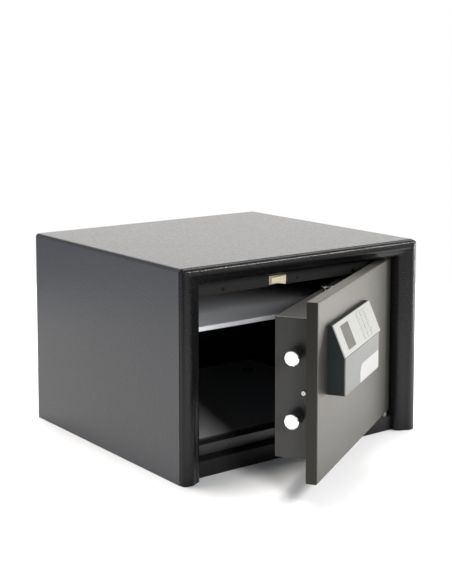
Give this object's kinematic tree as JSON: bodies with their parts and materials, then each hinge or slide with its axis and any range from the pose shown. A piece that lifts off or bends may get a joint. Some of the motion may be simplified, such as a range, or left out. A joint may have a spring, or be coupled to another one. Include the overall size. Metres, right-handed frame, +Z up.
{
  "type": "in-room safe",
  "caption": "Double-walled hotel room safe with a hinged door, motor-driven side and top bolts, a slanted keypad console and a removable inner shelf.",
  "frame": {"origin": "centre of the cabinet's flat bottom face", "axes": "+Z up, +X to the right as the user faces the door, +Y from the door into the cabinet"},
  "size_m": [0.472, 0.6175, 0.32],
  "materials": {
    "shell_grey": "fine hammered powder coat, satin",
    "frame_black": "textured gloss powder coat",
    "liner_black": "fine black powder coat",
    "shelf_white": "smooth light powder coat",
    "door_grey": "satin metallic grey coat",
    "case_grey": "fine dark grey powder coat",
    "plain_steel": "zinc plated",
    "bolt_chrome": "polished, fine turned end face",
    "gear_brass": "machined",
    "bush_black": "moulded nylon",
    "keeper_cream": "natural nylon",
    "mat_black": "needle felt",
    "insulation": "mineral wool slab",
    "console_black": "fine moulded grain",
    "fascia_silver": "silver painted plastic",
    "plate_grey": "grey satin plastic",
    "cover_white": "white satin plastic",
    "key_silver": "silver painted plastic with grey print",
    "window_grey": "grey tinted display window",
    "board_green": "circuit board",
    "motor_silver": "plated",
    "cell_dark": "shrink sleeve"
  },
  "bodies": {
    "cabinet": {"outer_shell": "shell_grey", "back_plate": "shell_grey", "base_plate": "shell_grey", "left_post": "frame_black", "right_post": "frame_black", "top_rail": "frame_black", "kick_panel": "frame_black", "liner": "liner_black", "liner_flange": "liner_black", "insulation_panels": "insulation", "anchor_sleeves": "plain_steel", "top_strip": "frame_black", "bottom_strip": "frame_black", "side_strips": "frame_black", "strip_screws": "frame_black", "strip_nuts": "plain_steel", "top_keeper": "keeper_cream", "shelf": "shelf_white", "shelf_supports": "liner_black", "floor_mat": "mat_black", "hinge_pins": "plain_steel", "hinge_seats": "plain_steel", "hinge_washers": "plain_steel"},
    "door": {"door_leaf": "door_grey", "door_back_plate": "case_grey", "hinge_blocks": "plain_steel", "hinge_bushes": "gear_brass", "door_box": "case_grey", "cover_screws": "plain_steel", "bolt_bushes": "bush_black", "top_bolt_bush": "bush_black", "rack_guides": "bush_black", "gear_motor": "motor_silver", "motor_bracket": "plain_steel", "pinion_bush": "gear_brass", "lock_housing": "console_black", "fascia": "fascia_silver", "front_plate": "plate_grey", "display_window": "window_grey", "display_module": "board_green", "keypad_board": "board_green", "battery_tray": "console_black", "batteries": "cell_dark"},
    "bolts": {"bolt_carriage": "plain_steel", "side_bolts": "bolt_chrome"},
    "top_bolt": {"top_bolt": "bolt_chrome"},
    "drive_pinion": {"drive_pinion": "gear_brass"},
    "battery_cover": {"battery_cover": "cover_white"},
    "key_1": {"key_1": "key_silver"},
    "key_2": {"key_2": "key_silver"},
    "key_3": {"key_3": "key_silver"},
    "key_4": {"key_4": "key_silver"},
    "key_5": {"key_5": "key_silver"},
    "key_6": {"key_6": "key_silver"},
    "key_7": {"key_7": "key_silver"},
    "key_8": {"key_8": "key_silver"},
    "key_9": {"key_9": "key_silver"},
    "key_clear": {"key_clear": "key_silver"},
    "key_0": {"key_0": "key_silver"},
    "key_enter": {"key_enter": "key_silver"}
  },
  "joints": [
    {"name": "door_hinge", "type": "hinge", "parent": "cabinet", "child": "door", "pos_m": [0.188, -0.19105, 0.16], "axis": [0, 0, 1], "range_deg": [-31.3, 68.7]},
    {"name": "bolt_throw", "type": "slide", "parent": "door", "child": "bolts", "axis": [0.8545, 0.5195, 0], "range_m": [0, 0.022]},
    {"name": "pinion_spin", "type": "hinge", "parent": "door", "child": "drive_pinion", "pos_m": [0.00321, -0.26824, 0.165], "axis": [-0.5195, 0.8545, 0], "range_deg": [-121, 0]},
    {"name": "top_bolt_lift", "type": "slide", "parent": "door", "child": "top_bolt", "axis": [0, 0, 1], "range_m": [-0.0127, 0]},
    {"name": "battery_cover_slide", "type": "slide", "parent": "door", "child": "battery_cover", "axis": [0.8545, 0.5195, 0], "range_m": [0, 0.1]},
    {"name": "key_1_press", "type": "slide", "parent": "door", "child": "key_1", "axis": [-0.4801, 0.7897, -0.382], "range_m": [0, 0.0008], "stiffness_N_per_m": 800},
    {"name": "key_2_press", "type": "slide", "parent": "door", "child": "key_2", "axis": [-0.4801, 0.7897, -0.382], "range_m": [0, 0.0008], "stiffness_N_per_m": 800},
    {"name": "key_3_press", "type": "slide", "parent": "door", "child": "key_3", "axis": [-0.4801, 0.7897, -0.382], "range_m": [0, 0.0008], "stiffness_N_per_m": 800},
    {"name": "key_4_press", "type": "slide", "parent": "door", "child": "key_4", "axis": [-0.4801, 0.7897, -0.382], "range_m": [0, 0.0008], "stiffness_N_per_m": 800},
    {"name": "key_5_press", "type": "slide", "parent": "door", "child": "key_5", "axis": [-0.4801, 0.7897, -0.382], "range_m": [0, 0.0008], "stiffness_N_per_m": 800},
    {"name": "key_6_press", "type": "slide", "parent": "door", "child": "key_6", "axis": [-0.4801, 0.7897, -0.382], "range_m": [0, 0.0008], "stiffness_N_per_m": 800},
    {"name": "key_7_press", "type": "slide", "parent": "door", "child": "key_7", "axis": [-0.4801, 0.7897, -0.382], "range_m": [0, 0.0008], "stiffness_N_per_m": 800},
    {"name": "key_8_press", "type": "slide", "parent": "door", "child": "key_8", "axis": [-0.4801, 0.7897, -0.382], "range_m": [0, 0.0008], "stiffness_N_per_m": 800},
    {"name": "key_9_press", "type": "slide", "parent": "door", "child": "key_9", "axis": [-0.4801, 0.7897, -0.382], "range_m": [0, 0.0008], "stiffness_N_per_m": 800},
    {"name": "key_clear_press", "type": "slide", "parent": "door", "child": "key_clear", "axis": [-0.4801, 0.7897, -0.382], "range_m": [0, 0.0008], "stiffness_N_per_m": 800},
    {"name": "key_0_press", "type": "slide", "parent": "door", "child": "key_0", "axis": [-0.4801, 0.7897, -0.382], "range_m": [0, 0.0008], "stiffness_N_per_m": 800},
    {"name": "key_enter_press", "type": "slide", "parent": "door", "child": "key_enter", "axis": [-0.4801, 0.7897, -0.382], "range_m": [0, 0.0008], "stiffness_N_per_m": 800}
  ],
  "couplings": [
    {"joint": "pinion_spin", "follows": "bolt_throw", "rad_per_m": -95.238},
    {"joint": "top_bolt_lift", "follows": "bolt_throw", "ratio": -0.57143}
  ]
}
